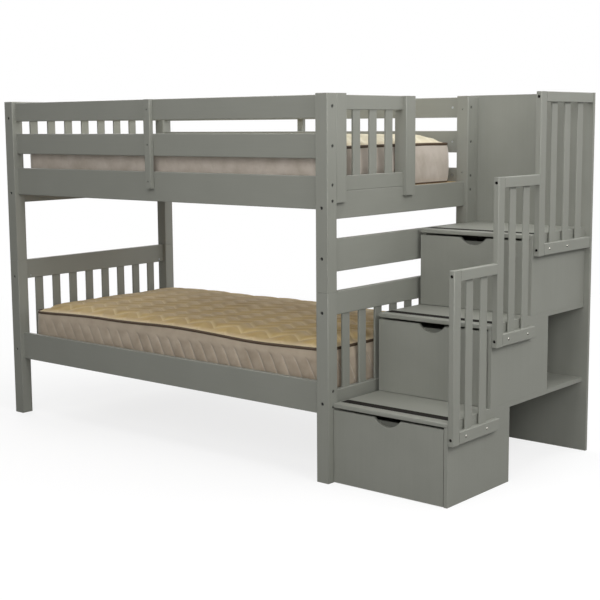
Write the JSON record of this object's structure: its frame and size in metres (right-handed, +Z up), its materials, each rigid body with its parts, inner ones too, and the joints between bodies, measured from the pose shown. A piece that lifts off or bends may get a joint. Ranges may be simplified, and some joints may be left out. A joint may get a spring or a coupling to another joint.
{
  "type": "bunk bed",
  "caption": "Wooden bunk bed with slatted ends and guard boards, mattresses, and a drawer staircase with open shelves at its right end.",
  "frame": {"origin": "middle of the floor area under the bed and its staircase, on the floor", "axes": "+X along the bed towards the staircase, +Y from the front to the rear, +Z up"},
  "size_m": [2.552, 1.1, 1.532],
  "materials": {
    "grey_paint": "satin grey paint",
    "bare_pine": "bare sawn pine",
    "ticking": "quilted woven ticking",
    "grip": "matt grained anti-slip strip",
    "runner_steel": "zinc plated",
    "screw_steel": "nickel plated",
    "black_bolt": "black oxide"
  },
  "bodies": {
    "frame": {"lower_post_front_left": "grey_paint", "lower_post_front_right": "grey_paint", "lower_post_rear_left": "grey_paint", "lower_post_rear_right": "grey_paint", "upper_post_front_left": "grey_paint", "upper_post_front_right": "grey_paint", "upper_post_rear_left": "grey_paint", "upper_post_rear_right": "grey_paint", "lower_left_end_rails": "grey_paint", "lower_left_end_slats": "grey_paint", "lower_right_end_rails": "grey_paint", "lower_right_end_slats": "grey_paint", "upper_left_end_rails": "grey_paint", "upper_left_end_slats": "grey_paint", "stair_end_wide_rail": "grey_paint", "stair_end_second_rail": "grey_paint", "end_guard_stile": "grey_paint", "end_guard_upright": "grey_paint", "end_guard_rails": "grey_paint", "end_guard_slats": "grey_paint", "lower_side_rail_front": "grey_paint", "lower_side_rail_rear": "grey_paint", "upper_side_rail_front": "grey_paint", "upper_side_rail_rear": "grey_paint", "guard_boards_front": "grey_paint", "guard_boards_rear": "grey_paint", "middle_uprights": "grey_paint", "tread_1": "grey_paint", "tread_2": "grey_paint", "tread_3": "grey_paint", "stair_left_panels": "grey_paint", "stair_right_panel_1": "grey_paint", "stair_right_panel_2": "grey_paint", "stair_right_panel_3": "grey_paint", "case_dividers": "grey_paint", "rear_panel_lower": "grey_paint", "rear_panel_upper": "grey_paint", "rear_batten": "grey_paint", "stair_guard_uprights": "grey_paint", "stair_guard_rails": "grey_paint", "stair_guard_slats": "grey_paint", "deck_cleats": "bare_pine", "deck_slats_all": "bare_pine", "post_dowels": "bare_pine", "lower_mattress": "ticking", "upper_mattress": "ticking", "anti_slip_strips": "grip", "drawer_channels": "runner_steel", "frame_bolts": "black_bolt", "barrel_nuts": "runner_steel", "guard_screws": "screw_steel"},
    "drawer_1": {"drawer_1_front": "grey_paint", "drawer_1_box": "grey_paint", "drawer_1_slides": "runner_steel"},
    "drawer_2": {"drawer_2_front": "grey_paint", "drawer_2_box": "grey_paint", "drawer_2_slides": "runner_steel"},
    "drawer_3": {"drawer_3_front": "grey_paint", "drawer_3_box": "grey_paint", "drawer_3_slides": "runner_steel"}
  },
  "joints": [
    {"name": "drawer_1_slide", "type": "slide", "parent": "frame", "child": "drawer_1", "axis": [0, -1, 0], "range_m": [0, 0.295]},
    {"name": "drawer_2_slide", "type": "slide", "parent": "frame", "child": "drawer_2", "axis": [0, -1, 0], "range_m": [0, 0.295]},
    {"name": "drawer_3_slide", "type": "slide", "parent": "frame", "child": "drawer_3", "axis": [0, -1, 0], "range_m": [0, 0.295]}
  ]
}
